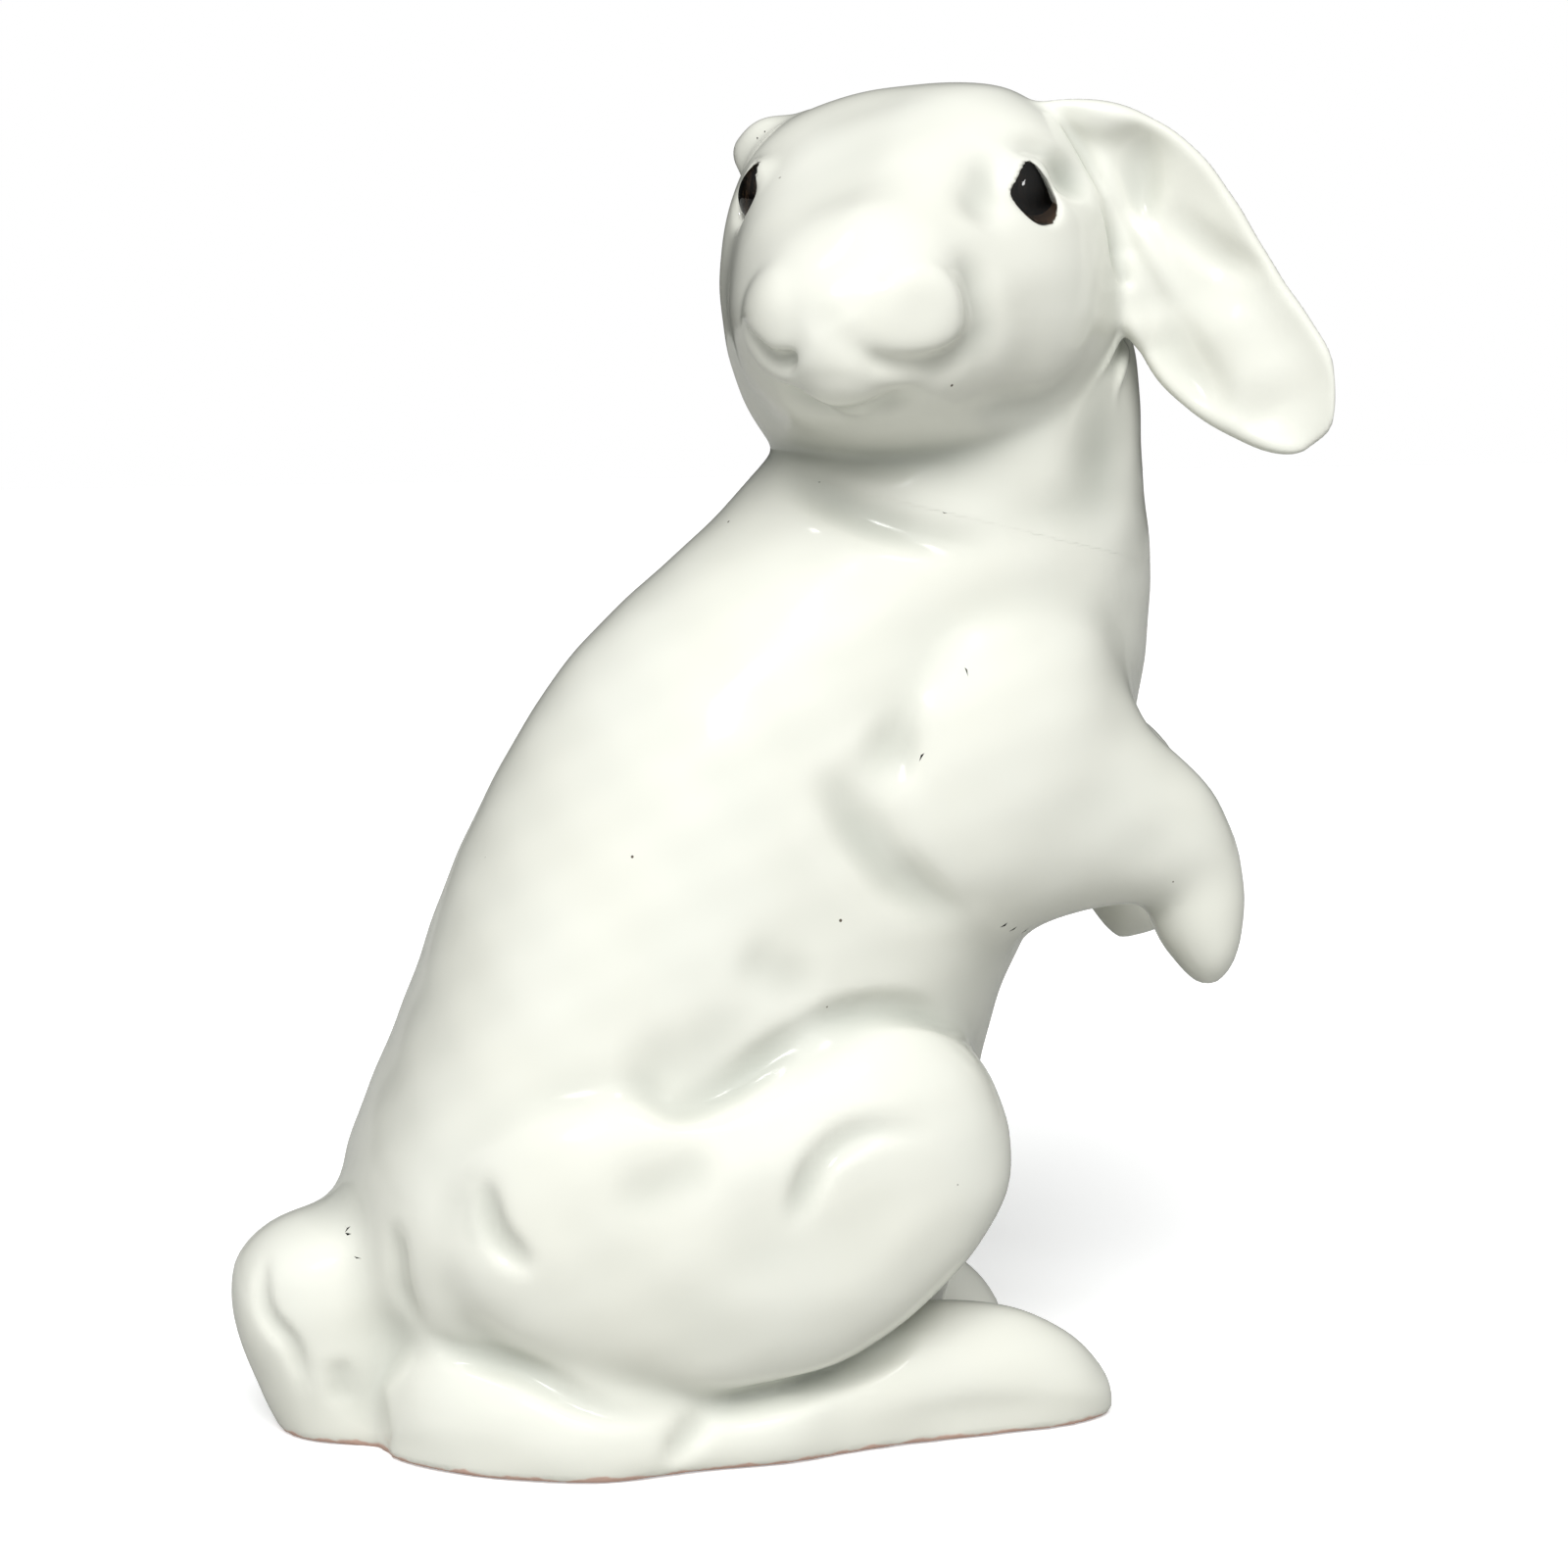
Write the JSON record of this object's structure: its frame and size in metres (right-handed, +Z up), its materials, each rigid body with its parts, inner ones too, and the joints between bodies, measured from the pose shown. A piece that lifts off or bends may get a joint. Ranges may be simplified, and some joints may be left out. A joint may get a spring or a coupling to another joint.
{
  "type": "rabbit figurine",
  "caption": "Hollow glazed earthenware rabbit ornament, sitting up on its haunches with its forepaws hanging and its head turned back, with inset glass eyes.",
  "frame": {"origin": "on the ground plane, under the middle of the trunk, at the height of the flat underside", "axes": "+X is the way the body faces, +Y is the rabbit's left, +Z is up; the head is turned 122 degrees to its right"},
  "size_m": [0.2447, 0.1359, 0.3056],
  "materials": {
    "glaze": "gloss",
    "eye_glass": "polished",
    "eye_enamel": "gloss",
    "eye_cement": "matte"
  },
  "bodies": {
    "root": {"body": "glaze", "head": "glaze", "left_ear": "glaze", "right_ear": "glaze", "left_foreleg": "glaze", "right_foreleg": "glaze", "left_hind_foot": "glaze", "right_hind_foot": "glaze", "tail": "glaze", "left_eye_glass": "eye_glass", "left_eye_enamel": "eye_enamel", "left_eye_cement": "eye_cement", "right_eye_glass": "eye_glass", "right_eye_enamel": "eye_enamel", "right_eye_cement": "eye_cement"}
  },
  "joints": []
}
